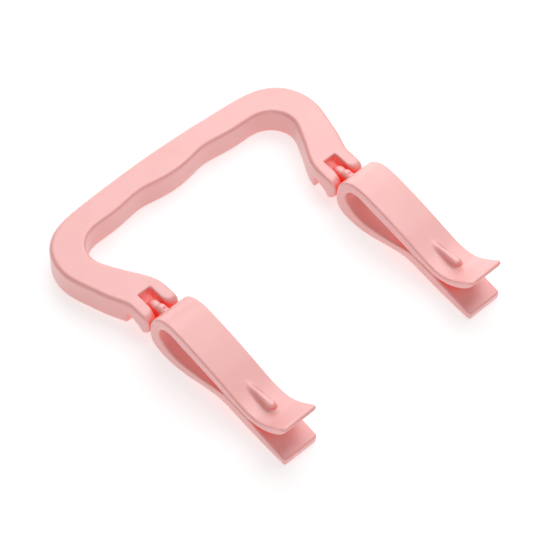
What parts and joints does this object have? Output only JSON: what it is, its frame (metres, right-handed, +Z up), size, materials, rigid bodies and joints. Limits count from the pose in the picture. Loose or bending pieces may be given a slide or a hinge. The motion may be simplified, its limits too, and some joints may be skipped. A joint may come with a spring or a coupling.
{
  "type": "twin-clip carrying handle",
  "caption": "U-shaped moulded carrying handle with finger scallops and, hinged in the fork at each arm end, a sprung clip with a flared thumb lip that grips what is carried.",
  "frame": {"origin": "centre of the part's bounding box, at the floor it lies on", "axes": "+X across the grip towards the right clip, +Y from the clips towards the grip, +Z up with the flared lips on top"},
  "size_m": [0.1166, 0.1204, 0.0194],
  "materials": {
    "handle_plastic": "satin moulded polypropylene, pale pink",
    "clip_plastic": "satin moulded polypropylene, pale pink"
  },
  "bodies": {
    "handle": {"handle": "handle_plastic"},
    "left_clip": {"left_clip": "clip_plastic"},
    "left_jaw": {"left_upper_jaw": "clip_plastic"},
    "right_clip": {"right_clip": "clip_plastic"},
    "right_jaw": {"right_upper_jaw": "clip_plastic"}
  },
  "joints": [
    {"name": "left_clip_hinge", "type": "hinge", "parent": "handle", "child": "left_clip", "pos_m": [-0.04315, 0.01015, 0.00723], "axis": [1, 0, 0], "range_deg": [-85, 85]},
    {"name": "right_clip_hinge", "type": "hinge", "parent": "handle", "child": "right_clip", "pos_m": [0.04315, 0.01015, 0.00723], "axis": [1, 0, 0], "range_deg": [-85, 85]},
    {"name": "left_jaw_flex", "type": "hinge", "parent": "left_clip", "child": "left_jaw", "pos_m": [-0.04315, 0.00237, 0.01287], "axis": [-1, 0, 0], "range_deg": [0, 12], "stiffness_Nm_per_rad": 1, "springref_deg": -6.88},
    {"name": "right_jaw_flex", "type": "hinge", "parent": "right_clip", "child": "right_jaw", "pos_m": [0.04315, 0.00237, 0.01287], "axis": [-1, 0, 0], "range_deg": [0, 12], "stiffness_Nm_per_rad": 1, "springref_deg": -6.88}
  ]
}
